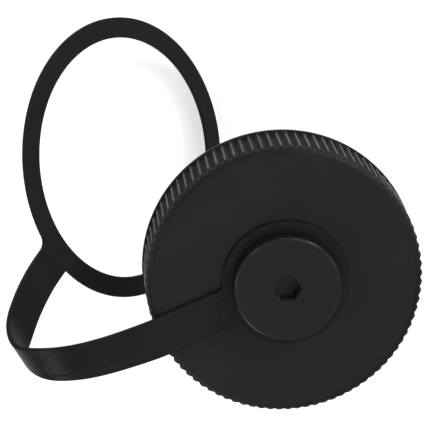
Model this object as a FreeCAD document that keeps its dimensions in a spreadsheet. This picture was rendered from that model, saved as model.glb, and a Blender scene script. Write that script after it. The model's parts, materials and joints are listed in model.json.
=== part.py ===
"""Tethered screw cap for a wide-mouth neck of 63 mm.

A knurled cap closes the neck. A round button, screwed into the middle of the cap's face, holds the
eye of a flexible tether, which turns about it. The tether's strap leaves the face, bends back on
itself and carries a flat ring that slips over the neck.

Frame: +Z is the cap's axis, with the button on top. The origin is the centre of the cap's open rim.
Lengths are in millimetres and angles in degrees.
"""
import FreeCAD, Part
import math
import os

import Sketcher
from FreeCAD import Placement, Rotation, Vector

doc = FreeCAD.newDocument("tethered_cap")


# ---------------------------------------------------------------- driving dimensions
SIZES = {
    # cap shell
    "cap_radius": 35.0,  # over the knurl's teeth
    "teeth_count": 92,
    "tooth_depth": 0.75,
    "tooth_share": 0.88,  # of the pitch that a groove takes at its mouth
    "groove_run_out": 0.3,  # how far the groove's section reaches past the teeth
    "lip_radius": 35.25,  # plain band at the open rim
    "lip_height": 1.3,
    "teeth_top": 14.2,
    "face_radius": 32.6,
    "face_height": 16.3,
    "corner_bulge": 0.45,  # how far the rounded corner stands out of its chord
    "ceiling_height": 14.0,
    "lead_in_radius": 32.2,  # plain mouth in front of the thread
    "lead_in_height": 2.6,
    "thread_root_radius": 31.6,
    "thread_depth": 1.2,
    "thread_pitch": 4.233,
    "thread_turns": 1.5,
    "thread_start": 4.2,
    "thread_foot": 2.4,  # width of the ridge at the wall
    "thread_crest": 1.0,
    "thread_bury": 0.2,  # how far the ridge's foot lies in the wall
    # sealing gasket under the ceiling
    "gasket_outer": 31.1,
    "gasket_inner": 24.5,
    "gasket_height": 1.4,
    # boss, button, seal and nut at the middle
    "boss_radius": 9.5,
    "boss_height": 1.6,
    "stud_hole_radius": 4.2,
    "button_radius": 13.4,
    "button_top": 22.75,
    "button_edge": 0.8,
    "stud_radius": 4.0,
    "stud_end": 10.6,
    "key_flats": 6.0,
    "key_depth": 4.5,
    "seal_radius": 6.3,  # middle of the seal's section
    "seal_width": 2.0,
    "seal_height": 1.4,
    "nut_flats": 13.0,
    "nut_height": 2.8,
    "nut_bore_radius": 4.05,
    # tether
    "tether_thickness": 1.1,
    "eye_lift": 0.15,  # running gap between the eye and the cap's face
    "eye_outer": 16.0,
    "eye_inner": 9.58,
    "strap_width": 10.0,
    "ring_outer": 37.2,
    "ring_inner": 31.8,
    "root_tab": 3.0,  # flat stretch of strap in front of the ring
    "root_bury": 2.5,  # how far the tab runs into the ring
    "root_fillet_outer": 2.6,
    "root_fillet_inner": 0.9,
}

SAME = 0.001  # lengths closer than this are one

sheet = doc.addObject("Spreadsheet::Sheet", "Sizes")
for row, (alias, value) in enumerate(SIZES.items(), start=1):
    sheet.set(f"A{row}", alias)
    sheet.set(f"B{row}", str(value))
    sheet.setAlias(f"B{row}", alias)
doc.recompute()


def size(alias):
    """Read one driving dimension back from the sheet."""
    return float(sheet.get(alias))


# ---------------------------------------------------------------- helpers
def new_body(name):
    body = doc.addObject("PartDesign::Body", name)
    body.Label = name
    return body


def origin_feature(body, role):
    return next(part for part in body.Origin.OriginFeatures if part.Role == role)


def new_sketch(body, name, role="XY_Plane", offset=None):
    """Sketch on one of the body's own origin planes, moved by an offset."""
    sketch = body.newObject("Sketcher::SketchObject", name)
    sketch.AttachmentSupport = [(origin_feature(body, role), "")]
    sketch.MapMode = "FlatFace"
    if offset is not None:
        sketch.AttachmentOffset = offset
    return sketch


def lift_sketch(sketch, expression):
    """Raise a sketch above its plane by an expression in the sheet's aliases."""
    sketch.setExpression("AttachmentOffset.Base.z", in_sheet(expression))


def in_sheet(expression):
    """Put the sheet's name in front of each alias of an expression."""
    words = expression.split(" ")
    return " ".join(f"Sizes.{word}" if word in SIZES else word for word in words)


def bound(sketch, constraint, expression):
    """Add a dimension constraint and drive it from the sheet."""
    index = sketch.addConstraint(constraint)
    sketch.setExpression(f"Constraints[{index}]", in_sheet(expression))


def add_circle(sketch, expression):
    """Circle about the sketch's origin, its radius driven by the sheet."""
    number = sketch.addGeometry(Part.Circle(Vector(0, 0, 0), Vector(0, 0, 1), 5.0))
    sketch.addConstraint(Sketcher.Constraint("Coincident", number, 3, -1, 1))
    bound(sketch, Sketcher.Constraint("Radius", number, 5.0), expression)


def add_profile(sketch, points):
    """Closed outline through points, each given as a pair of expressions for across and up."""
    flat = [Vector(evaluate(across), evaluate(up), 0) for across, up in points]
    first = sketch.GeometryCount
    for start, end in zip(flat, flat[1:] + flat[:1]):
        sketch.addGeometry(Part.LineSegment(start, end))
    for index, (across, up) in enumerate(points):
        line = first + index
        before = first + (index - 1) % len(points)
        sketch.addConstraint(Sketcher.Constraint("Coincident", before, 2, line, 1))
        pin_point(sketch, line, "DistanceX", flat[index].x, across)
        pin_point(sketch, line, "DistanceY", flat[index].y, up)


def pin_point(sketch, line, kind, value, expression):
    """Hold a line's start at a distance from the sketch's origin along one axis."""
    if abs(value) < SAME:
        axis = -2 if kind == "DistanceX" else -1
        sketch.addConstraint(Sketcher.Constraint("PointOnObject", line, 1, axis))
        return
    bound(sketch, Sketcher.Constraint(kind, -1, 1, line, 1, value), expression)


def evaluate(expression):
    """Value of an expression in the sheet's aliases."""
    return float(sheet.evalExpression(expression))


def revolve(body, sketch, name, kind="PartDesign::Revolution"):
    feature = body.newObject(kind, name)
    feature.Profile = sketch
    feature.ReferenceAxis = (origin_feature(body, "Z_Axis"), [""])
    feature.Angle = 360.0
    return feature


def pad(body, sketch, name, expression, kind="PartDesign::Pad", reverse=False):
    feature = body.newObject(kind, name)
    feature.Profile = sketch
    feature.Type = 0
    feature.setExpression("Length", in_sheet(expression))
    feature.Reversed = reverse
    return feature


def must_cut(body, before):
    """Stop if the body's last cut took away less than a cubic millimetre."""
    if body.Shape.Volume > before - 1.0:
        raise RuntimeError(f"{body.Label}: the last cut removes nothing")


def add_hexagon(sketch, flats):
    """Regular hexagon about the origin, two corners on the X axis, driven by its size over flats."""
    corner = evaluate(flats) / math.sqrt(3)
    points = [Vector(corner * math.cos(math.radians(60 * i)), corner * math.sin(math.radians(60 * i)), 0)
              for i in range(6)]
    for start, end in zip(points, points[1:] + points[:1]):
        sketch.addGeometry(Part.LineSegment(start, end))
    guide = sketch.addGeometry(Part.Circle(Vector(0, 0, 0), Vector(0, 0, 1), corner), True)
    sketch.addConstraint(Sketcher.Constraint("Coincident", guide, 3, -1, 1))
    for side in range(6):
        sketch.addConstraint(Sketcher.Constraint("Coincident", side, 2, (side + 1) % 6, 1))
        sketch.addConstraint(Sketcher.Constraint("PointOnObject", side, 1, guide))
        if side:
            sketch.addConstraint(Sketcher.Constraint("Equal", 0, side))
    sketch.addConstraint(Sketcher.Constraint("PointOnObject", 0, 1, -1))
    bound(sketch, Sketcher.Constraint("Diameter", guide, 2 * corner), f"2 * {flats} / sqrt(3)")


# ---------------------------------------------------------------- cap shell
def make_cap_shell():
    """Knurled cup with a rounded top corner, a raised boss, a stud hole and a thread inside."""
    body = new_body("cap_shell")
    profile = new_sketch(body, "shell_profile", "XZ_Plane")
    corner_across = "( cap_radius + face_radius ) / 2 + corner_bulge"
    corner_up = "( teeth_top + face_height ) / 2 + corner_bulge"
    groove_inner = "seal_radius - seal_width / 2"
    groove_outer = "seal_radius + seal_width / 2"
    boss_top = "face_height + boss_height"
    add_profile(profile, [
        ("lead_in_radius", "0"),
        ("lip_radius", "0"),
        ("lip_radius", "lip_height"),
        ("cap_radius", "lip_height"),
        ("cap_radius", "teeth_top"),
        (corner_across, corner_up),
        ("face_radius", "face_height"),
        ("boss_radius", "face_height"),
        ("boss_radius", boss_top),
        (groove_outer, boss_top),
        (groove_outer, f"{boss_top} - seal_height"),
        (groove_inner, f"{boss_top} - seal_height"),
        (groove_inner, boss_top),
        ("stud_hole_radius", boss_top),
        ("stud_hole_radius", "ceiling_height"),
        ("thread_root_radius", "ceiling_height"),
        ("thread_root_radius", "lead_in_height"),
        ("lead_in_radius", "lead_in_height"),
    ])
    revolve(body, profile, "shell_turned")
    doc.recompute()

    ridge = new_sketch(body, "thread_section", "XZ_Plane")
    middle = "thread_start"
    inner = "thread_root_radius - thread_depth"
    rooted = "thread_root_radius + thread_bury"
    add_profile(ridge, [
        (rooted, f"{middle} - thread_foot / 2"),
        (rooted, f"{middle} + thread_foot / 2"),
        (inner, f"{middle} + thread_crest / 2"),
        (inner, f"{middle} - thread_crest / 2"),
    ])
    thread = body.newObject("PartDesign::AdditiveHelix", "thread")
    thread.Profile = ridge
    thread.ReferenceAxis = (origin_feature(body, "Z_Axis"), [""])
    thread.Mode = 0
    thread.setExpression("Pitch", in_sheet("thread_pitch"))
    thread.setExpression("Height", in_sheet("thread_pitch * thread_turns"))
    doc.recompute()

    groove = new_sketch(body, "knurl_groove")
    lift_sketch(groove, "lip_height")
    mouth = "cap_radius * pi / teeth_count * tooth_share"
    reach = f"{mouth} * ( tooth_depth + groove_run_out ) / tooth_depth"
    add_profile(groove, [
        ("cap_radius - tooth_depth", "0"),
        ("cap_radius + groove_run_out", reach),
        ("cap_radius + groove_run_out", f"0 - {reach}"),
    ])
    before = body.Shape.Volume
    cut = pad(body, groove, "knurl_cut", "face_height", kind="PartDesign::Pocket", reverse=True)
    doc.recompute()
    must_cut(body, before)
    knurl = body.newObject("PartDesign::PolarPattern", "knurl")
    knurl.Originals = [cut]
    knurl.Axis = (origin_feature(body, "Z_Axis"), [""])
    knurl.Angle = 360.0
    knurl.setExpression("Occurrences", in_sheet("teeth_count"))
    body.Tip = knurl
    doc.recompute()
    return body


# ---------------------------------------------------------------- gasket and button
def make_ring_of(name, inner, outer, low, height):
    """Flat ring about the Z axis, from its four sizes as expressions."""
    body = new_body(name)
    outline = new_sketch(body, f"{name}_outline")
    lift_sketch(outline, low)
    add_circle(outline, outer)
    add_circle(outline, inner)
    pad(body, outline, f"{name}_pad", height)
    doc.recompute()
    return body


def make_button():
    """Button with a hexagonal key socket on top and a stud underneath."""
    body = new_body("hub_button")
    seat = "face_height + boss_height"
    profile = new_sketch(body, "button_profile", "XZ_Plane")
    add_profile(profile, [
        ("0", "stud_end"),
        ("stud_radius", "stud_end"),
        ("stud_radius", seat),
        ("button_radius", seat),
        ("button_radius", "button_top"),
        ("0", "button_top"),
    ])
    turned = revolve(body, profile, "button_turned")
    doc.recompute()
    rim = [f"Edge{number}" for number, edge in enumerate(turned.Shape.Edges, start=1)
           if edge.Curve.TypeId == "Part::GeomCircle"
           and abs(edge.Curve.Radius - size("button_radius")) < SAME
           and abs(edge.Curve.Center.z - size("button_top")) < SAME]
    edge_round = body.newObject("PartDesign::Fillet", "button_edge")
    edge_round.Base = (turned, rim)
    edge_round.setExpression("Radius", in_sheet("button_edge"))
    doc.recompute()
    socket = new_sketch(body, "key_outline")
    lift_sketch(socket, "button_top")
    add_hexagon(socket, "key_flats")
    before = body.Shape.Volume
    pad(body, socket, "key_socket", "key_depth", kind="PartDesign::Pocket")
    doc.recompute()
    must_cut(body, before)
    return body


def make_nut():
    """Thin hexagon nut that draws the button down from inside the cap."""
    body = new_body("hub_nut")
    outline = new_sketch(body, "nut_outline")
    lift_sketch(outline, "ceiling_height - nut_height")
    add_hexagon(outline, "nut_flats")
    pad(body, outline, "nut_pad", "nut_height")
    doc.recompute()
    bore = new_sketch(body, "nut_bore")
    lift_sketch(bore, "ceiling_height - nut_height")
    add_circle(bore, "nut_bore_radius")
    before = body.Shape.Volume
    pad(body, bore, "nut_drilled", "nut_height", kind="PartDesign::Pocket", reverse=True)
    doc.recompute()
    must_cut(body, before)
    return body


# ---------------------------------------------------------------- tether
# The ring's centre, its axis and the side that carries the strap.
RING_CENTRE = Vector(-38.1, 21.0, -28.8)
RING_AXIS = Vector(0.693, 0.193, 0.698).normalize()
RING_ROOT_POINT = Vector(-57.5, 1.1, -4.0)

# The strap's middle line, from the eye to the ring. Each station has its place and the direction
# of the strap's width: its heading about Z, and how far it dips below the horizontal.
STRAP_HEADING = 203.3
STRAP_LEVEL = size("face_height") + size("eye_lift") + size("tether_thickness") / 2


def on_face(radius):
    """Station on the cap's face, straight out from the button."""
    angle = math.radians(STRAP_HEADING)
    return (radius * math.cos(angle), radius * math.sin(angle), STRAP_LEVEL, STRAP_HEADING + 90.0, 0.0)


STATIONS = [
    on_face(12.0),
    on_face(19.0),
    on_face(26.0),
    (-31.0, -13.2, 17.8, -70.0, -3.0),
    (-38.5, -15.3, 19.5, -75.0, 1.0),
    (-50.4, -17.7, 21.9, -80.0, 9.0),
    (-56.7, -18.5, 21.7, -80.5, 15.0),
    (-62.6, -18.6, 19.8, -76.5, 25.0),
    (-66.7, -17.3, 16.4, -68.5, 40.0),
    (-67.0, -13.9, 11.7, -54.0, 28.0),
    (-65.5, -9.8, 7.9, -51.0, 23.0),
    (-63.3, -5.8, 4.0, -53.0, 19.5),
]
ARM_END = 6
BEND_END = 10


def ring_frame():
    """Unit vectors of the ring: across the strap's root, towards the ring's centre, and its axis."""
    to_root = RING_ROOT_POINT - RING_CENTRE
    inward = (RING_AXIS * to_root.dot(RING_AXIS) - to_root).normalize()
    across = inward.cross(RING_AXIS)
    return across, inward, RING_AXIS


def station_planes():
    """Placement of the strap's section at each station: X across its width, Z along its run."""
    across_ring, inward, _ = ring_frame()
    places = [Vector(*station[:3]) for station in STATIONS]
    widths = []
    for heading, dip in [station[3:] for station in STATIONS]:
        turn, down = math.radians(heading), math.radians(dip)
        flat = math.cos(down)
        widths.append(Vector(flat * math.cos(turn), flat * math.sin(turn), -math.sin(down)))
    places.append(RING_CENTRE - inward * (size("ring_outer") + size("root_tab")))
    widths.append(across_ring)
    planes = []
    for index, (place, width) in enumerate(zip(places, widths)):
        before = places[max(index - 1, 0)]
        after = places[min(index + 1, len(places) - 1)]
        run = (after - before).normalize()
        if index == len(places) - 1:
            run = inward
        width = (width - run * width.dot(run)).normalize()
        planes.append(Placement(place, Rotation(width, run.cross(width), run, "ZXY")))
    return planes


def add_strap(body, planes):
    """Loft the strap's flat section through the given planes."""
    sections = []
    for number, plane in enumerate(planes, start=1):
        section = new_sketch(body, f"{body.Name}_section_{number}", offset=plane)
        half_width, half_height = "strap_width / 2", "tether_thickness / 2"
        add_profile(section, [
            (f"0 - {half_width}", f"0 - {half_height}"),
            (half_width, f"0 - {half_height}"),
            (half_width, half_height),
            (f"0 - {half_width}", half_height),
        ])
        sections.append(section)
    loft = body.newObject("PartDesign::AdditiveLoft", f"{body.Name}_strap")
    loft.Profile = sections[0]
    loft.Sections = sections[1:]
    loft.Ruled = False
    doc.recompute()
    return loft


def edge_across(shape, centre, side, radius):
    """Name of the edge where the tab's side meets a circle about a centre."""
    for number, edge in enumerate(shape.Edges, start=1):
        reach = edge.CenterOfMass - centre
        on_circle = abs(reach.Length - radius) < SAME
        if on_circle and abs(reach.dot(side) - size("strap_width") / 2) < SAME:
            return f"Edge{number}"
    raise RuntimeError("the tab's side does not meet the ring")


def make_tether(planes):
    """The tether in three lengths: eye and arm, the bend, and the tail with its ring."""
    arm = make_ring_of("tether_arm", "eye_inner", "eye_outer", "face_height + eye_lift", "tether_thickness")
    add_strap(arm, planes[:ARM_END + 1])

    bend = new_body("tether_bend")
    add_strap(bend, planes[ARM_END:BEND_END + 1])

    ring = new_body("tether_ring")
    across, inward, axis = ring_frame()
    half = axis * (size("tether_thickness") / 2)
    flat = Placement(RING_CENTRE - half, Rotation(across, inward, axis, "ZXY"))
    outline = new_sketch(ring, "ring_outline", offset=flat)
    add_circle(outline, "ring_outer")
    add_circle(outline, "ring_inner")
    pad(ring, outline, "ring_pad", "tether_thickness")
    tab = new_sketch(ring, "ring_tab", offset=flat)
    left, right = "0 - strap_width / 2", "strap_width / 2"
    far, near = "0 - ring_outer - root_tab", "0 - ring_outer + root_bury"
    add_profile(tab, [(left, far), (right, far), (right, near), (left, near)])
    joined = pad(ring, tab, "ring_tab_pad", "tether_thickness")
    doc.recompute()
    for side, radius in ((across * -1, "root_fillet_outer"), (across, "root_fillet_inner")):
        corner = edge_across(joined.Shape, RING_CENTRE, side, size("ring_outer"))
        fillet = ring.newObject("PartDesign::Fillet", radius)
        fillet.Base = (joined, [corner])
        fillet.setExpression("Radius", in_sheet(radius))
        doc.recompute()
        joined = fillet
    add_strap(ring, planes[BEND_END:])
    return [arm, bend, ring]


# ---------------------------------------------------------------- build, check and write
NODES = [
    make_cap_shell(),
    make_ring_of("neck_gasket", "gasket_inner", "gasket_outer", "ceiling_height - gasket_height",
                 "gasket_height"),
    make_ring_of("hub_seal", "seal_radius - seal_width / 2", "seal_radius + seal_width / 2",
                 "face_height + boss_height - seal_height", "seal_height"),
    make_button(),
    make_nut(),
] + make_tether(station_planes())
doc.recompute()

for item in doc.Objects:
    if "Invalid" in item.State or "Error" in item.State:
        raise RuntimeError(f"{item.Label} did not build: {item.State}")
for node in NODES:
    if node.Shape.isNull() or not node.Shape.isValid():
        raise RuntimeError(f"{node.Label} has no valid shape")
    if len(node.Shape.Solids) != 1:
        raise RuntimeError(f"{node.Label} is {len(node.Shape.Solids)} solids, not one")

os.makedirs("parts", exist_ok=True)
for node in NODES:
    node.Shape.exportStep(f"parts/{node.Label}.step")
    print(f"{node.Label}: {node.Shape.Volume:.1f} mm3")
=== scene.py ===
"""Looks of the tethered screw cap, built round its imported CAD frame. Lengths are in metres."""

import json
import math

import bpy
import numpy as np
from mathutils import Matrix, Vector, geometry


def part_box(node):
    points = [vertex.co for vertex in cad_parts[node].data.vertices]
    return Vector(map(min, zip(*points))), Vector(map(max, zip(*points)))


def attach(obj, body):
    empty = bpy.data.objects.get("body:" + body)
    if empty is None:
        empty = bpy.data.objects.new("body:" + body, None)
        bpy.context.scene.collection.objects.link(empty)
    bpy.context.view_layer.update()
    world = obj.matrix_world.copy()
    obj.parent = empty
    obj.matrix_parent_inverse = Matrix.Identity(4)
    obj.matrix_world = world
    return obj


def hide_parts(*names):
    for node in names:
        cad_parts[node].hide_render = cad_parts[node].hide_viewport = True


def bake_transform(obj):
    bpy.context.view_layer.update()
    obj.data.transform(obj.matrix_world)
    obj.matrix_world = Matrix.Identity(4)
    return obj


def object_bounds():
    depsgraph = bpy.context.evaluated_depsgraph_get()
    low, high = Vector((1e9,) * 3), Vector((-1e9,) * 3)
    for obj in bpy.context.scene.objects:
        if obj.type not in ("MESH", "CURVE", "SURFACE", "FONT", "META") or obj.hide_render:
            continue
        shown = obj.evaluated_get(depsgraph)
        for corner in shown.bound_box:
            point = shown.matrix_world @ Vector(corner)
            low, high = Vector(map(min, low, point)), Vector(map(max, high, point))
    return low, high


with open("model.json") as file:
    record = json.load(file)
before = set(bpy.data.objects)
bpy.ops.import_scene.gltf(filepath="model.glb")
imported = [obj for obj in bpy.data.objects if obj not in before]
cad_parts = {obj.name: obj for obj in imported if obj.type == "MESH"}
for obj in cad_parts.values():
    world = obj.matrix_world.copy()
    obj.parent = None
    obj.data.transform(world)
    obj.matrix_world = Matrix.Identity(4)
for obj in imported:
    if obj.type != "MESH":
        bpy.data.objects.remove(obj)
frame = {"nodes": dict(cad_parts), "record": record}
cad_low, cad_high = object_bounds()

MM = 0.001
TAU = 2 * math.pi


# ---------------------------------------------------------------- sizes, from the frame
def mount(name):
    return next(m for m in frame["record"]["mounts"] if m["name"] == name)


shell_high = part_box("cap_shell")[1]
button_low, button_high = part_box("hub_button")
gasket_low, gasket_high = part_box("neck_gasket")
nut_low, nut_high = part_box("hub_nut")

# cap shell
LIP_RADIUS = shell_high.x
CAP_RADIUS = LIP_RADIUS - 0.25 * MM
LIP_HEIGHT = 1.3 * MM
BOSS_TOP = shell_high.z
BOSS_RADIUS = 9.5 * MM
FACE_HEIGHT = BOSS_TOP - 1.6 * MM
FACE_RADIUS = CAP_RADIUS - 2.4 * MM
TEETH = 92
TEETH_TOP = FACE_HEIGHT - 2.1 * MM
TOOTH_DEPTH = 0.75 * MM
TOOTH_SHARE = 0.88
CREST_SHARE = 0.1
CREST_TOP = TEETH_TOP + 1.6 * MM
VALLEY_TOP = TEETH_TOP + 1.0 * MM
KNURL_INNER = FACE_RADIUS + 0.1 * MM
CEILING = gasket_high.z
LEAD_IN_RADIUS = mount("neck_socket")["dims"]["r_mm"] * MM
LEAD_IN_HEIGHT = mount("neck_socket")["dims"]["length_mm"] * MM
ROOT_RADIUS = 31.6 * MM
THREAD_DEPTH = 1.2 * MM
THREAD_PITCH = 4.233 * MM
THREAD_TURNS = 1.5
THREAD_START = 4.2 * MM
THREAD_FOOT = 2.4 * MM
THREAD_CREST = 1.0 * MM
THREAD_TAPER = 12  # each end fades over one part in this many of the ridge's length
STUD_HOLE_RADIUS = 4.2 * MM
SEAL_INNER = 5.3 * MM
SEAL_OUTER = 7.3 * MM
SEAL_FLOOR = BOSS_TOP - 1.4 * MM

# button, stud and nut
BUTTON_RADIUS = button_high.x
BUTTON_TOP = button_high.z
BUTTON_EDGE = 0.65 * MM
STUD_END = button_low.z
STUD_RADIUS = 4.0 * MM
CORE_RADIUS = 0.8 * MM  # where the turned outline stops short of the axis
KEY_FLATS = 6.0 * MM
KEY_DEPTH = 4.5 * MM
NUT_FLATS = 13.0 * MM
NUT_BORE = 4.05 * MM

# tether
STRAP_WIDTH = 10.0 * MM
THICKNESS = 1.1 * MM
EYE_LEVEL = FACE_HEIGHT + 0.15 * MM + THICKNESS / 2
EYE_OUTER = 16.0 * MM
EYE_INNER = 9.58 * MM
RING_OUTER = 37.2 * MM
RING_INNER = mount("neck_ring")["dims"]["r_mm"] * MM
RING_CENTRE = np.array(mount("neck_ring")["pos_m"])
RING_AXIS = -np.array(mount("neck_ring")["axis"])
RING_AXIS = RING_AXIS / np.linalg.norm(RING_AXIS)
ROOT_TAB = 3.0 * MM
RING_ROOT_POINT = np.array((-57.5, 1.1, -4.0)) * MM
STRAP_HEADING = math.radians(203.3)


# ---------------------------------------------------------------- mesh helpers
def new_piece(name, points, faces, material, sharp=40.0):
    """Smooth-shaded mesh object, its edges kept sharp above an angle."""
    mesh = bpy.data.meshes.new(name)
    mesh.from_pydata([tuple(p) for p in points], [], faces)
    mesh.validate()
    mesh.update()
    mesh.polygons.foreach_set("use_smooth", [True] * len(mesh.polygons))
    mesh.set_sharp_from_angle(angle=math.radians(sharp))
    mesh.materials.append(material)
    piece = bpy.data.objects.new(name, mesh)
    bpy.context.scene.collection.objects.link(piece)
    weigh = piece.modifiers.new("weighted_normals", "WEIGHTED_NORMAL")
    weigh.keep_sharp = True
    return piece


def rounded(corners, steps=5):
    """Closed outline through (across, up, radius) corners, each rounded by its radius."""
    outline = []
    for index, (x, y, radius) in enumerate(corners):
        here = Vector((x, y))
        if not radius:
            outline.append((x, y))
            continue
        before = Vector(corners[index - 1][:2]) - here
        after = Vector(corners[(index + 1) % len(corners)][:2]) - here
        opening = before.angle(after)
        reach = radius / math.tan(opening / 2)
        start = here + before.normalized() * reach
        middle = (before.normalized() + after.normalized()).normalized()
        centre = here + middle * (radius / math.sin(opening / 2))
        first = start - centre
        turn = math.pi - opening
        if before.x * after.y - before.y * after.x > 0:
            turn = -turn
        for step in range(steps + 1):
            angle = turn * step / steps
            cos, sin = math.cos(angle), math.sin(angle)
            outline.append((centre.x + first.x * cos - first.y * sin,
                            centre.y + first.x * sin + first.y * cos))
    return outline


def lathe(profile, segments, shape=None, closed=True):
    """Turn (radius, height) points about Z. shape(radius, height, angle) may change a radius."""
    points, faces = [], []
    for radius, height in profile:
        for step in range(segments):
            angle = TAU * step / segments
            reach = shape(radius, height, angle) if shape else radius
            points.append((reach * math.cos(angle), reach * math.sin(angle), height))
    rows = len(profile)
    for row in range(rows if closed else rows - 1):
        low, high = row * segments, (row + 1) % rows * segments
        for step in range(segments):
            after = (step + 1) % segments
            faces.append((low + step, low + after, high + after, high + step))
    if not closed:
        faces.append(tuple(reversed(range(segments))))
        faces.append(tuple(range((rows - 1) * segments, rows * segments)))
    return points, faces


def hexagon(flats, angle):
    """Distance from the centre to a hexagon's side, its corners on the X axis."""
    return flats / 2 / math.cos(angle % (TAU / 6) - TAU / 12)


# ---------------------------------------------------------------- materials
def link(tree, source, target):
    tree.links.new(source, target)


def plastic(name, colour, roughness, gleam=0.2, grain=0.35, mottle=0.12, wear=0.06):
    """Moulded plastic: mottled colour, a fine grain in gloss and surface, and faint rubbing marks."""
    material = bpy.data.materials.new(name)
    material.use_nodes = True
    tree = material.node_tree
    shader = tree.nodes["Principled BSDF"]
    shader.inputs["Specular IOR Level"].default_value = gleam
    where = tree.nodes.new("ShaderNodeTexCoord")

    def noise(scale, detail, stretch=None):
        texture = tree.nodes.new("ShaderNodeTexNoise")
        texture.inputs["Scale"].default_value = scale
        texture.inputs["Detail"].default_value = detail
        source = where.outputs["Object"]
        if stretch:
            mapping = tree.nodes.new("ShaderNodeMapping")
            mapping.inputs["Scale"].default_value = stretch
            mapping.inputs["Rotation"].default_value = (0.3, 0.2, 0.7)
            link(tree, source, mapping.inputs["Vector"])
            source = mapping.outputs["Vector"]
        link(tree, source, texture.inputs["Vector"])
        return texture.outputs["Fac"]

    def scaled(value, low, high, to_low, to_high):
        remap = tree.nodes.new("ShaderNodeMapRange")
        for socket, number in zip(("From Min", "From Max", "To Min", "To Max"), (low, high, to_low, to_high)):
            remap.inputs[socket].default_value = number
        link(tree, value, remap.inputs["Value"])
        return remap.outputs["Result"]

    def joined(kind, first, second):
        node = tree.nodes.new("ShaderNodeMath")
        node.operation = kind
        link(tree, first, node.inputs[0])
        link(tree, second, node.inputs[1])
        return node.outputs[0]

    patches = noise(70.0, 4.0)
    fine = noise(2600.0, 2.0)
    rubbed = noise(160.0, 3.0, stretch=(1.0, 14.0, 1.0))
    marks = scaled(rubbed, 0.62, 0.74, 0.0, 1.0)

    mix = tree.nodes.new("ShaderNodeMix")
    mix.data_type = "RGBA"
    mix.inputs["A"].default_value = (*[c * (1 - mottle) for c in colour], 1)
    mix.inputs["B"].default_value = (*[c * (1 + mottle) for c in colour], 1)
    link(tree, scaled(patches, 0.3, 0.7, 0.0, 1.0), mix.inputs["Factor"])
    link(tree, mix.outputs["Result"], shader.inputs["Base Color"])

    gloss = joined("ADD", scaled(fine, 0.3, 0.7, roughness - 0.05, roughness + 0.05),
                   scaled(patches, 0.3, 0.7, -0.03, 0.03))
    gloss = joined("SUBTRACT", gloss, scaled(marks, 0.0, 1.0, 0.0, wear))
    link(tree, gloss, shader.inputs["Roughness"])

    bump = tree.nodes.new("ShaderNodeBump")
    bump.inputs["Strength"].default_value = grain
    bump.inputs["Distance"].default_value = 0.02 * MM
    link(tree, fine, bump.inputs["Height"])
    link(tree, bump.outputs["Normal"], shader.inputs["Normal"])
    return material


cap_plastic = plastic("cap_plastic", (0.0096, 0.0088, 0.0089), 0.46, gleam=0.11)
# painted light: the knurl's flanks, painted lighter than the cap's face and left almost without gloss
valley_painted_light = plastic("valley_painted_light", (0.0165, 0.0158, 0.0158), 0.60, gleam=0.015)
# painted light: the knurl's crest strips, painted lighter than the cap's face; they are also glossier
crest_painted_light = plastic("crest_painted_light", (0.0130, 0.0124, 0.0124), 0.38, gleam=0.12, grain=0.2)
button_plastic = plastic("button_plastic", (0.0098, 0.0093, 0.0089), 0.32, gleam=0.08)
nut_plastic = plastic("nut_plastic", (0.03, 0.03, 0.031), 0.45)
button_edge_plastic = plastic("button_edge_plastic", (0.0104, 0.0098, 0.0094), 0.24, gleam=0.2, grain=0.15)
# painted light: the key socket's walls, painted lighter than the button to lift the shade inside the socket
socket_wall_painted_light = plastic("socket_wall_painted_light", (0.022, 0.0212, 0.0205), 0.65, gleam=0.05)
# painted light: the key socket's floor, painted lighter still than its walls
socket_floor_painted_light = plastic("socket_floor_painted_light", (0.052, 0.050, 0.049), 0.7, gleam=0.05)
tether_plastic = plastic("tether_plastic", (0.0106, 0.0101, 0.0100), 0.36, gleam=0.05)
channel_edge_plastic = plastic("channel_edge_plastic", (0.0104, 0.0097, 0.0096), 0.28, gleam=0.11, grain=0.15)
seal_rubber = plastic("seal_rubber", (0.03, 0.03, 0.03), 0.7, grain=0.6)


# ---------------------------------------------------------------- cap shell
STEPS_PER_TOOTH = 10


def groove_depth(angle):
    """Depth of the knurl at an angle, with softened bottoms and crests."""
    place = (angle * TEETH / TAU + 0.5) % 1.0 - 0.5
    share = 1 - (math.hypot(place, 0.035) - 0.035) / (TOOTH_SHARE / 2)
    return TOOTH_DEPTH * (share + math.hypot(share, 0.05)) / 2


def knurled(radius, height, angle):
    """Cut the knurl's grooves into the wall and the rounded corner above the lip."""
    if height <= LIP_HEIGHT or radius < FACE_RADIUS:
        return radius
    start = min((height - LIP_HEIGHT) / (0.35 * MM), 1.0)
    return min(radius, CAP_RADIUS - groove_depth(angle) * start)


def thread_ridge():
    """Helical ridge with tapered ends, its foot buried in the wall."""
    steps = 300
    points, faces = [], []
    for step in range(steps + 1):
        share = step / steps
        angle = TAU * THREAD_TURNS * share
        ramp = max(min(1.0, share * THREAD_TAPER, (1 - share) * THREAD_TAPER), 0.02)
        middle = THREAD_START + THREAD_PITCH * THREAD_TURNS * share
        foot, crest = THREAD_FOOT / 2, THREAD_CREST / 2
        outer = ROOT_RADIUS + 0.2 * MM
        inner = ROOT_RADIUS - THREAD_DEPTH * ramp
        soft = 0.12 * MM
        for radius, height in ((outer, -foot), (inner + soft, -crest - soft / 2), (inner, -crest + soft),
                               (inner, crest - soft), (inner + soft, crest + soft / 2), (outer, foot)):
            points.append((radius * math.cos(angle), radius * math.sin(angle), middle + height))
    across = 6
    for step in range(steps):
        for side in range(across):
            here, after = step * across, (step + 1) * across
            up = (side + 1) % across
            faces.append((here + side, here + up, after + up, after + side))
    faces.append(tuple(reversed(range(across))))
    faces.append(tuple(range(steps * across, (steps + 1) * across)))
    return points, faces


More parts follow.
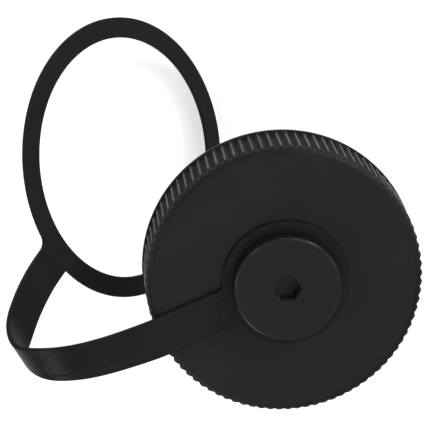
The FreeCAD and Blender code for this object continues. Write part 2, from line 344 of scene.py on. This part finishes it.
def make_cap():
    """Knurled shell with its lip, boss, seal groove and thread; the knurl's flanks and crests are painted
    lighter than the face, painted light for how light falls on the knurl, and the crests are also glossier.
    """
    steps = 14
    turns = [step * math.pi / (2 * steps) for step in range(steps + 1)]
    corner = [(FACE_RADIUS + (CAP_RADIUS - FACE_RADIUS) * math.cos(turn),
               TEETH_TOP + (FACE_HEIGHT - TEETH_TOP) * math.sin(turn)) for turn in turns]
    wall = [(CAP_RADIUS, LIP_HEIGHT + step * MM) for step in (0.001, 0.12, 0.35, 0.8, 3.0, 6.0, 9.0, 11.5)]
    below = rounded([
        (LEAD_IN_RADIUS, 0.0, 0.25 * MM),
        (LIP_RADIUS, 0.0, 0.3 * MM),
        (LIP_RADIUS, LIP_HEIGHT, 0.12 * MM),
        (FACE_RADIUS, LIP_HEIGHT, 0.0),
        (FACE_RADIUS, LEAD_IN_HEIGHT, 0.0),
    ], steps=4)[:-2]
    inside = rounded([
        (FACE_RADIUS, FACE_HEIGHT, 0.0),
        (BOSS_RADIUS, FACE_HEIGHT, 0.3 * MM),
        (BOSS_RADIUS, BOSS_TOP, 0.15 * MM),
        (SEAL_OUTER, BOSS_TOP, 0.0),
        (SEAL_OUTER, SEAL_FLOOR, 0.0),
        (SEAL_INNER, SEAL_FLOOR, 0.0),
        (SEAL_INNER, BOSS_TOP, 0.0),
        (STUD_HOLE_RADIUS, BOSS_TOP, 0.0),
        (STUD_HOLE_RADIUS, CEILING, 0.2 * MM),
        (ROOT_RADIUS, CEILING, 0.4 * MM),
        (ROOT_RADIUS, LEAD_IN_HEIGHT, 0.15 * MM),
        (LEAD_IN_RADIUS, LEAD_IN_HEIGHT - 0.4 * MM, 0.15 * MM),
        (LEAD_IN_RADIUS, 0.0, 0.0),
    ], steps=4)[1:-1]
    flats = [(radius * MM, FACE_HEIGHT) for radius in (32.2, 30.0, 21.0, 10.4)]
    profile = below + wall + corner + flats + inside
    points, faces = lathe(profile, TEETH * STEPS_PER_TOOTH, knurled)
    ridge_points, ridge_faces = thread_ridge()
    shift = len(points)
    faces += [tuple(index + shift for index in face) for face in ridge_faces]
    piece = new_piece("knurled_cap", points + ridge_points, faces, cap_plastic, sharp=50.0)
    piece.data.materials.append(valley_painted_light)
    piece.data.materials.append(crest_painted_light)
    # the knurl's faces take the painted-light copies: crest strips index 2, flanks below VALLEY_TOP index 1
    for face in piece.data.polygons:
        centre = face.center
        if centre.z > LIP_HEIGHT and centre.xy.length > KNURL_INNER:
            place = math.atan2(centre.y, centre.x) * TEETH / TAU % 1.0
            if abs(place - 0.5) < CREST_SHARE and centre.z < CREST_TOP:
                face.material_index = 2
            elif centre.z < VALLEY_TOP:
                face.material_index = 1
    return piece


# ---------------------------------------------------------------- button, nut and gasket
def make_button():
    """Button, stud and key socket in one, with a glossier edge; the key socket's walls and floor are painted
    lighter than the button, painted light lifting the shade inside the socket.
    """
    socket_floor = BUTTON_TOP - KEY_DEPTH
    chamfer = 0.05 * MM
    body = rounded([
        (CORE_RADIUS, STUD_END, 0.0),
        (STUD_RADIUS, STUD_END, 0.4 * MM),
        (STUD_RADIUS, BOSS_TOP, 0.0),
        (BUTTON_RADIUS, BOSS_TOP, 0.2 * MM),
        (BUTTON_RADIUS, BUTTON_TOP, BUTTON_EDGE),
        (CORE_RADIUS, BUTTON_TOP, 0.0),
    ], steps=8)[:-1]
    top = [(radius * MM, BUTTON_TOP) for radius in (12.4, 9.0, 5.0)]
    flat = KEY_FLATS / 2
    socket_reach = 2 / math.sqrt(3) * flat + chamfer  # past the hexagon's corners
    foot = 0.1 * MM
    socket = [(flat + chamfer, BUTTON_TOP), (flat, BUTTON_TOP - chamfer), (flat, socket_floor + foot),
              (flat - foot, socket_floor), (CORE_RADIUS, socket_floor - 0.5 * MM)]

    def socket_shape(radius, height, angle):
        if height > socket_floor - foot and radius < flat + 2 * chamfer:
            return hexagon(2 * radius, angle)
        return radius

    points, faces = lathe(body + top + socket, 192, socket_shape, closed=False)
    piece = new_piece("hub_button_top", points, faces, button_plastic)
    piece.data.materials.append(button_edge_plastic)
    piece.data.materials.append(socket_wall_painted_light)
    piece.data.materials.append(socket_floor_painted_light)
    # the socket's walls and floor take the painted-light copies, index 2 and 3
    for face in piece.data.polygons:
        centre = face.center
        if centre.z > BUTTON_TOP - BUTTON_EDGE and centre.xy.length > BUTTON_RADIUS - BUTTON_EDGE:
            face.material_index = 1
        elif socket_floor - MM < centre.z < BUTTON_TOP - chamfer and centre.xy.length < socket_reach:
            face.material_index = 3 if centre.z < socket_floor + foot else 2
    return piece


def make_nut():
    """Hexagonal nut, chamfered on the side away from the cap's ceiling."""
    corner = NUT_FLATS / math.sqrt(3)
    profile = rounded([
        (NUT_BORE, nut_low.z, 0.35 * MM),
        (corner, nut_low.z, 0.0),
        (corner, nut_high.z, 0.0),
        (NUT_BORE, nut_high.z, 0.1 * MM),
    ])
    chamfer = [(NUT_FLATS / 2 * 0.97, nut_low.z), (NUT_FLATS / 2, nut_low.z + 0.12 * MM),
               (corner, nut_low.z + 0.65 * MM)]
    first = next(i for i, point in enumerate(profile) if point == (corner, nut_low.z))
    profile[first:first + 1] = chamfer

    def nut_shape(radius, height, angle):
        return min(radius, hexagon(NUT_FLATS, angle)) if radius > NUT_BORE + 1.0 * MM else radius

    points, faces = lathe(profile, 192, nut_shape)
    return new_piece("stud_nut", points, faces, nut_plastic, sharp=25.0)


def make_gasket():
    """Flat ring, its lower edges more rounded than its upper ones."""
    inner, outer = 24.5 * MM, gasket_high.x
    bead = 0.35 * MM
    profile = rounded([
        (inner, gasket_low.z, bead),
        (outer, gasket_low.z, bead),
        (outer, gasket_high.z, 0.1 * MM),
        (inner, gasket_high.z, 0.1 * MM),
    ])
    points, faces = lathe(profile, 256)
    return new_piece("sealing_gasket", points, faces, seal_rubber)


# ---------------------------------------------------------------- tether
def on_face(radius):
    """Station on the cap's face: place, heading of the strap's width and how far it dips."""
    return (radius * math.cos(STRAP_HEADING), radius * math.sin(STRAP_HEADING), EYE_LEVEL / MM, -66.7, 0.0)


STATIONS = [
    on_face(12.0),
    on_face(19.0),
    on_face(26.0),
    (-31.0, -13.2, 17.8, -70.0, -3.0),
    (-38.5, -15.3, 19.5, -75.0, 1.0),
    (-50.4, -17.7, 21.9, -80.0, 9.0),
    (-56.7, -18.5, 21.7, -80.5, 15.0),
    (-62.6, -18.6, 19.8, -76.5, 25.0),
    (-66.7, -17.3, 16.4, -68.5, 40.0),
    (-67.0, -13.9, 11.7, -54.0, 28.0),
    (-65.5, -9.8, 7.9, -51.0, 23.0),
    (-63.3, -5.8, 4.0, -53.0, 19.5),
]


def unit(vector):
    return vector / np.linalg.norm(vector, axis=-1, keepdims=True)


def smooth_curve(knots, values, first_slope, last_slope, places):
    """Clamped cubic spline through values at knots, read at places."""
    count = len(knots)
    gaps = np.diff(knots)
    slopes = np.diff(values, axis=0) / gaps[:, None]
    matrix = np.zeros((count, count))
    right = np.zeros_like(values)
    matrix[0, 0] = matrix[-1, -1] = 1.0
    right[0], right[-1] = first_slope, last_slope
    for i in range(1, count - 1):
        matrix[i, i - 1:i + 2] = gaps[i], 2 * (gaps[i - 1] + gaps[i]), gaps[i - 1]
        right[i] = 3 * (gaps[i] * slopes[i - 1] + gaps[i - 1] * slopes[i])
    tangents = np.linalg.solve(matrix, right)
    spans = np.clip(np.searchsorted(knots, places) - 1, 0, count - 2)
    gap = gaps[spans][:, None]
    t = ((places - knots[spans]) / gaps[spans])[:, None]
    return ((2 * t ** 3 - 3 * t ** 2 + 1) * values[spans] + (t ** 3 - 2 * t ** 2 + t) * gap * tangents[spans]
            + (3 * t ** 2 - 2 * t ** 3) * values[spans + 1] + (t ** 3 - t ** 2) * gap * tangents[spans + 1])


class Run:
    """The strap's middle line with its width and outward directions, by distance from the eye's centre."""

    def __init__(self):
        to_root = RING_ROOT_POINT - RING_CENTRE
        inward = unit(RING_AXIS * (to_root @ RING_AXIS) - to_root)
        across = np.cross(inward, RING_AXIS)
        outward = np.array((math.cos(STRAP_HEADING), math.sin(STRAP_HEADING), 0.0))
        places = [np.array(station[:3]) * MM for station in STATIONS]
        widths = []
        for heading, dip in (station[3:] for station in STATIONS):
            turn, down = math.radians(heading), math.radians(dip)
            widths.append((math.cos(down) * math.cos(turn), math.cos(down) * math.sin(turn), -math.sin(down)))
        places = np.array(places + [RING_CENTRE - inward * (RING_OUTER + ROOT_TAB)])
        widths = np.array(widths + [across])
        knots = np.concatenate(([0.0], np.cumsum(np.linalg.norm(np.diff(places, axis=0), axis=1))))
        fine = np.linspace(0.0, knots[-1], 1200)
        line = smooth_curve(knots, places, outward, inward, fine)
        wide = smooth_curve(knots, widths, np.zeros(3), np.zeros(3), fine)
        along = unit(np.gradient(line, fine, axis=0))
        along[0], along[-1] = outward, inward
        wide = unit(wide - along * (wide * along).sum(1, keepdims=True))
        lengths = np.concatenate(([0.0], np.cumsum(np.linalg.norm(np.diff(line, axis=0), axis=1))))
        self.start = np.linalg.norm(places[0][:2])
        self.distance = self.start + lengths
        self.end = self.distance[-1]
        self.line, self.wide, self.along = line, wide, along

    def at(self, points):
        """Places in space of (along, across, height) points of the flat moulding."""
        points = np.asarray(points, float)
        along = np.clip(points[:, 0], self.start, self.end)

        def read(table):
            return np.stack([np.interp(along, self.distance, column) for column in table.T], 1)

        line, wide, forward = read(self.line), unit(read(self.wide)), unit(read(self.along))
        wide = unit(wide - forward * (wide * forward).sum(1, keepdims=True))
        normal = np.cross(forward, wide)
        past = (points[:, 0] - along)[:, None]
        return line + forward * past + wide * points[:, 1:2] + normal * points[:, 2:3]


run = Run()
HUB = np.zeros(2)
RING_MIDDLE = np.array((run.end + ROOT_TAB + RING_OUTER, 0.0))
HALF = STRAP_WIDTH / 2
ROOT_FILLETS = {-1: 2.6 * MM, 1: 0.9 * MM}
EYE_FILLET = 1.2 * MM
EDGE_ROUND = 0.28 * MM
GRID = 0.8 * MM
FILLET_STEP = 0.2 * MM
GRID_MARGIN = 0.6 * MM


def arc(centre, radius, start, end, step=GRID):
    """Points on an arc, its last point left out."""
    count = max(6, math.ceil(abs(end - start) * radius / step))
    angles = start + (end - start) * np.arange(count) / count
    return np.stack((centre[0] + radius * np.cos(angles), centre[1] + radius * np.sin(angles)), 1)


def straight(start, end, step=GRID):
    """Points on a straight line, its last point left out."""
    start, end = np.array(start), np.array(end)
    count = max(1, math.ceil(np.linalg.norm(end - start) / step))
    return start + (end - start) * (np.arange(count) / count)[:, None]


def corner_of(middle, circle, fillet, side, towards):
    """Centre of the fillet between a strap's side and a circle."""
    up = side * (HALF + fillet)
    reach = math.sqrt((circle + fillet) ** 2 - up ** 2)
    return np.array((middle[0] + towards * reach, up))


def bearing(from_point, to_point):
    return math.atan2(to_point[1] - from_point[1], to_point[0] - from_point[0])


def tether_outline():
    """Outside edge of the flat moulding, with the material on its left."""
    low_root = corner_of(RING_MIDDLE, RING_OUTER, ROOT_FILLETS[-1], -1, -1)
    high_root = corner_of(RING_MIDDLE, RING_OUTER, ROOT_FILLETS[1], 1, -1)
    low_eye = corner_of(HUB, EYE_OUTER, EYE_FILLET, -1, 1)
    high_eye = corner_of(HUB, EYE_OUTER, EYE_FILLET, 1, 1)
    parts = [
        straight((low_eye[0], -HALF), (low_root[0], -HALF)),
        arc(low_root, ROOT_FILLETS[-1], math.pi / 2, bearing(low_root, RING_MIDDLE), FILLET_STEP),
        arc(RING_MIDDLE, RING_OUTER, bearing(RING_MIDDLE, low_root), bearing(RING_MIDDLE, high_root)),
        arc(high_root, ROOT_FILLETS[1], bearing(high_root, RING_MIDDLE), -math.pi / 2, FILLET_STEP),
        straight((high_root[0], HALF), (high_eye[0], HALF)),
        arc(high_eye, EYE_FILLET, -math.pi / 2, bearing(high_eye, HUB), FILLET_STEP),
        arc(HUB, EYE_OUTER, bearing(HUB, high_eye), bearing(HUB, low_eye) + TAU),
        arc(low_eye, EYE_FILLET, bearing(low_eye, HUB), math.pi / 2, FILLET_STEP),
    ]
    return np.concatenate(parts)


def inset(loop, distance):
    """Move a closed loop into the material on its left."""
    ahead, behind = np.roll(loop, -1, axis=0), np.roll(loop, 1, axis=0)
    first, second = unit(ahead - loop), unit(loop - behind)
    direction = unit(first + second)
    left = np.stack((-direction[:, 1], direction[:, 0]), 1)
    return loop + left * distance


CHANNEL_EDGE = 1.5 * MM
CHANNEL_DEPTH = 0.2 * MM
CHANNEL_SLOPE = 0.45 * MM
CHANNEL_STEPS = 6
CHANNEL_END = 65.0 * MM


def channel_outline():
    """Edge of the shallow channel in the strap's outer face; it follows the eye at one end."""
    half = HALF - CHANNEL_EDGE
    near = EYE_OUTER + CHANNEL_EDGE
    soft = 0.6 * MM
    up = half - soft
    reach = math.sqrt((near + soft) ** 2 - up ** 2)
    low, high = np.array((reach, -up)), np.array((reach, up))
    end = CHANNEL_END - half
    parts = [
        straight((reach, -half), (end, -half)),
        arc((end, 0.0), half, -math.pi / 2, math.pi / 2, 0.4 * MM),
        straight((end, half), (reach, half)),
        arc(high, soft, math.pi / 2, bearing(high, HUB) + TAU, 0.15 * MM),
        arc(HUB, near, bearing(HUB, high), bearing(HUB, low), 0.4 * MM),
        arc(low, soft, bearing(low, HUB), -math.pi / 2 + TAU, 0.15 * MM),
    ]
    return np.concatenate(parts)


def circle_hole(centre, radius, step):
    """Round hole, run the other way so that the material is on its left."""
    return arc(centre, radius, 0.0, -TAU, step)


def within(points, loop):
    """Which points a closed loop goes round."""
    x, y = points[:, 0][:, None], points[:, 1][:, None]
    x1, y1 = loop[:, 0][None], loop[:, 1][None]
    x2, y2 = np.roll(loop[:, 0], -1)[None], np.roll(loop[:, 1], -1)[None]
    crosses = (y1 > y) != (y2 > y)
    with np.errstate(divide="ignore", invalid="ignore"):
        meet = x1 + (y - y1) * (x2 - x1) / (y2 - y1)
    return (crosses & (x < meet)).sum(1) % 2 == 1


def strap_grid(loops, half, start, end):
    """Points inside the strap, clear of every loop."""
    across = np.linspace(-half, half, 2 * round(half / GRID) + 1)
    along = np.arange(start, end, GRID)
    grid = np.stack(np.meshgrid(along, across), -1).reshape(-1, 2)
    edges = np.concatenate(loops)
    near = np.linalg.norm(grid[:, None] - edges[None], axis=2).min(1)
    return grid[near > 0.5 * MM]


class Mesh:
    """Points and faces of a moulding, gathered loop by loop in its flat pattern."""

    def __init__(self):
        self.points, self.faces = [], []

    def add(self, flat, height):
        first = len(self.points)
        self.points += [(x, y, height) for x, y in flat]
        return list(range(first, len(self.points)))

    def strip(self, high, low):
        """Wall between two loops, its outside on the right of the way they run."""
        for i in range(len(high)):
            after = (i + 1) % len(high)
            self.faces.append((high[i], low[i], low[after], high[after]))

    def cover(self, outer, holes, extra, height, upward=True):
        """Triangles over the inside of an outer loop less its holes."""
        rings = [outer] + holes
        inner = self.add(extra, height)
        indices = [index for ring in rings for index in ring] + inner
        flat = [Vector(self.points[index][:2]) / MM for index in indices]
        edges, first = [], 0
        for ring in rings:
            edges += [(first + i, first + (i + 1) % len(ring)) for i in range(len(ring))]
            first += len(ring)
        made = geometry.delaunay_2d_cdt(flat, edges, [], 0, 1e-6)
        source = [origins[0] for origins in made[3]]
        corners = np.array([[tuple(made[0][v]) for v in face] for face in made[2]]) * MM
        middles = corners.mean(1)
        loops = [np.array([self.points[index][:2] for index in ring]) for ring in rings]
        kept = within(middles, loops[0])
        for loop in loops[1:]:
            kept &= ~within(middles, loop)
        for face, keep in zip(made[2], kept):
            if keep:
                face = [indices[source[v]] for v in face]
                self.faces.append(tuple(face if upward else reversed(face)))


def make_tether():
    """Eye, strap and ring as one flexible moulding."""
    top = THICKNESS / 2
    mesh = Mesh()
    loops = [tether_outline(), circle_hole(HUB, EYE_INNER, 0.6 * MM),
             circle_hole(RING_MIDDLE, RING_INNER, 0.9 * MM)]
    upper, lower = [], []
    steps = 5
    for loop in loops:
        rows = []
        for side in (1, -1):
            angles = [math.pi / 2 * step / steps for step in range(steps + 1)]
            for angle in (reversed(angles) if side > 0 else angles):
                moved = inset(loop, EDGE_ROUND * (1 - math.cos(angle)))
                rows.append(mesh.add(moved, side * (top - EDGE_ROUND + EDGE_ROUND * math.sin(angle))))
        for high, low in zip(rows, rows[1:]):
            mesh.strip(high, low)
        upper.append(rows[0])
        lower.append(rows[-1])
    flat = [np.array([mesh.points[index][:2] for index in ring]) for ring in upper]
    channel = channel_outline()
    wall = []
    for step in range(CHANNEL_STEPS + 1):
        share = step / CHANNEL_STEPS
        sink = CHANNEL_DEPTH * (1 - math.cos(math.pi * share)) / 2
        wall.append(mesh.add(inset(channel, CHANNEL_SLOPE * share), top - sink))
    first_wall = len(mesh.faces)
    for high, low in zip(wall, wall[1:]):
        mesh.strip(list(reversed(high)), list(reversed(low)))
    last_wall = len(mesh.faces)
    rim, sunk = wall[0], wall[-1]
    spread = strap_grid(flat + [channel], HALF - GRID_MARGIN, EYE_OUTER, run.end + ROOT_TAB)
    inside = within(spread, channel)
    mesh.cover(upper[0], upper[1:] + [rim], spread[~inside], top)
    floor = spread[within(spread, inset(channel, 0.9 * MM))]
    mesh.cover(sunk, [], floor, top - CHANNEL_DEPTH)
    spread = strap_grid(flat, HALF - GRID_MARGIN, EYE_OUTER, run.end + ROOT_TAB)
    mesh.cover(lower[0], lower[1:], spread, -top, upward=False)
    piece = new_piece("flexible_tether", run.at(mesh.points), mesh.faces, tether_plastic, sharp=35.0)
    piece.data.materials.append(channel_edge_plastic)
    for face in piece.data.polygons[first_wall:last_wall]:
        face.material_index = 1
    return piece


cap = make_cap()
button = make_button()
nut = make_nut()
gasket = make_gasket()
tether = make_tether()

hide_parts("cap_shell")
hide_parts("hub_button")
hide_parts("hub_nut")
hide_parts("neck_gasket")
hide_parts("tether_arm", "tether_bend", "tether_ring")
for piece in (cap, button, nut, gasket):
    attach(piece, "cap")
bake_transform(tether)

seal = frame["nodes"]["hub_seal"]
seal.data.materials.clear()
seal.data.materials.append(seal_rubber)


# ---------------------------------------------------------------- floor, light and camera
def make_floor():
    """Wide pale floor just under the lowest point of the tether's ring."""
    half, cells = 6.0, 24
    level = cad_low.z - 1.0 * MM
    points = [(half * (2 * x / cells - 1), half * (2 * y / cells - 1), level)
              for y in range(cells + 1) for x in range(cells + 1)]
    row = cells + 1
    corners = [y * row + x for y in range(cells) for x in range(cells)]
    faces = [(first, first + 1, first + row + 1, first + row) for first in corners]
    pale = bpy.data.materials.new("pale_floor")
    pale.use_nodes = True
    shader = pale.node_tree.nodes["Principled BSDF"]
    shader.inputs["Base Color"].default_value = (0.85, 0.85, 0.85, 1)
    shader.inputs["Emission Color"].default_value = (1.0, 1.0, 1.0, 1)
    shader.inputs["Emission Strength"].default_value = 0.35
    shader.inputs["Roughness"].default_value = 0.9
    shader.inputs["Specular IOR Level"].default_value = 0.1
    floor = new_piece("floor", points, faces, pale)


def add_light(name, place, side, power):
    """Rectangular lamp that faces the origin."""
    data = bpy.data.lights.new(name, "AREA")
    data.shape = "RECTANGLE"
    data.size, data.size_y = side
    data.energy = power
    lamp = bpy.data.objects.new(name, data)
    lamp.location = place
    lamp.rotation_euler = (-Vector(place)).to_track_quat("-Z", "Y").to_euler()
    bpy.context.scene.collection.objects.link(lamp)


def make_camera():
    """Camera in front of the cap's face, turned as the cap is seen from its button side."""
    right = Vector((0.99733, 0.0, 0.07304))
    up = Vector((0.02044, 0.96003, -0.27914))
    back = Vector((-0.07012, 0.27989, 0.95747))
    data = bpy.data.cameras.new("camera")
    data.sensor_width = 36.0
    data.lens = 185.5
    data.clip_start, data.clip_end = 0.01, 50.0
    camera = bpy.data.objects.new("camera", data)
    turn = Matrix((right, up, back)).transposed().to_4x4()
    camera.matrix_world = Matrix.Translation((-0.05622, 0.17051, 0.53766)) @ turn
    bpy.context.scene.collection.objects.link(camera)
    bpy.context.scene.camera = camera


def make_world(strength):
    world = bpy.data.worlds.new("studio")
    world.use_nodes = True
    background = world.node_tree.nodes["Background"]
    background.inputs["Color"].default_value = (1.0, 1.0, 1.0, 1)
    background.inputs["Strength"].default_value = strength
    bpy.context.scene.world = world


make_floor()
add_light("top", (0.1, 0.9, 0.3), (0.35, 0.35), 0.5)
add_light("high", (0.35, 0.55, 0.68), (0.35, 0.35), 1.6)
add_light("front", (0.05, -0.2, 0.9), (0.8, 0.8), 2.9)
add_light("right", (0.7, 0.1, 0.55), (0.15, 0.15), 1.1)
add_light("high_left", (-0.65, 0.6, 0.35), (0.3, 0.3), 1.4)
add_light("left", (-0.75, -0.1, 0.5), (0.15, 0.15), 1.4)
add_light("low", (-0.36, -0.8, 0.5), (0.3, 0.3), 3.0)
add_light("spark", (0.5, 0.55, 0.45), (0.12, 0.12), 3.2)
make_world(0.29)
make_camera()
bpy.context.scene.view_settings.view_transform = "Standard"
